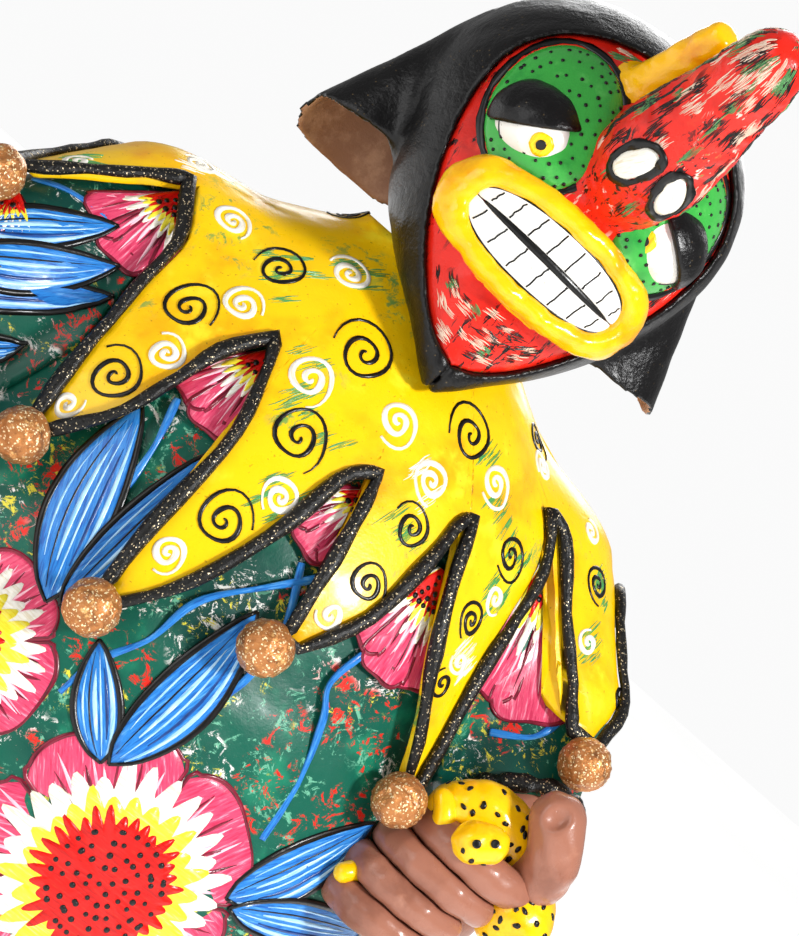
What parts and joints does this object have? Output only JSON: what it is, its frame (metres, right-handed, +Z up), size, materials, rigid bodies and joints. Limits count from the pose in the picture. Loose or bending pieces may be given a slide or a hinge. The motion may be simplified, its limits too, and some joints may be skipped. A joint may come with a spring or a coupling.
{
  "type": "papier-mache carnival figure",
  "caption": "Hollow painted papier-mache carnival figure with a hooded, horned, long-nosed mask, a pointed jester cape and a bell robe, holding a small leopard in its fist.",
  "frame": {"origin": "centre of the underside of the base board", "axes": "+Z up the figure, the face looks along -Y, +X is the figure's own left side"},
  "size_m": [0.3402, 0.2779, 0.5452],
  "materials": {
    "wood": "bare softwood",
    "robe_green": "papier-mache, satin acrylic paint",
    "cape_yellow": "papier-mache, satin acrylic paint",
    "hood_black": "papier-mache, gloss black paint",
    "mask_red": "papier-mache, gloss acrylic paint with dry-brushed black, white and green",
    "socket_green": "papier-mache, gloss paint",
    "white_gloss": "papier-mache, gloss white paint",
    "gloss_yellow": "papier-mache, thick gloss paint",
    "skin_brown": "papier-mache, gloss brown paint",
    "leopard_yellow": "papier-mache, gloss paint with black spots",
    "bronze_paint": "crumpled paper ball with bronze paint",
    "black_glitter": "glued cord under black glitter varnish"
  },
  "bodies": {
    "root": {"base_board": "wood", "cape_ball_01": "bronze_paint", "cape_ball_02": "bronze_paint", "cape_ball_03": "bronze_paint", "cape_ball_04": "bronze_paint", "cape_ball_05": "bronze_paint", "cape_ball_06": "bronze_paint", "cape_ball_07": "bronze_paint", "cape_ball_08": "bronze_paint", "cape_ball_09": "bronze_paint", "cape_ball_10": "bronze_paint", "cape_ball_11": "bronze_paint", "cape_ball_12": "bronze_paint", "cape_edge_cord": "black_glitter", "cape_shell": "cape_yellow", "cuff_band_left": "black_glitter", "cuff_band_right": "black_glitter", "ear_left": "hood_black", "ear_right": "hood_black", "eye_socket_left": "socket_green", "eye_socket_right": "socket_green", "eyeball_left": "white_gloss", "eyeball_right": "white_gloss", "eyelid_left": "hood_black", "eyelid_right": "hood_black", "face_mask": "mask_red", "finger_index_left": "skin_brown", "finger_index_right": "skin_brown", "finger_little_left": "skin_brown", "finger_little_right": "skin_brown", "finger_middle_left": "skin_brown", "finger_middle_right": "skin_brown", "finger_ring_left": "skin_brown", "finger_ring_right": "skin_brown", "hood_shell": "hood_black", "horn": "gloss_yellow", "leopard_body": "leopard_yellow", "leopard_foreleg": "leopard_yellow", "leopard_head": "leopard_yellow", "leopard_tail": "leopard_yellow", "lips": "gloss_yellow", "neck": "hood_black", "nose": "mask_red", "nostril_left": "white_gloss", "nostril_right": "white_gloss", "palm_left": "skin_brown", "palm_right": "skin_brown", "robe_shell": "robe_green", "shoulder_bar": "wood", "sleeve_left": "robe_green", "sleeve_right": "robe_green", "spine_post": "wood", "teeth_lower": "white_gloss", "teeth_upper": "white_gloss", "thumb_left": "skin_brown", "thumb_right": "skin_brown"}
  },
  "joints": []
}
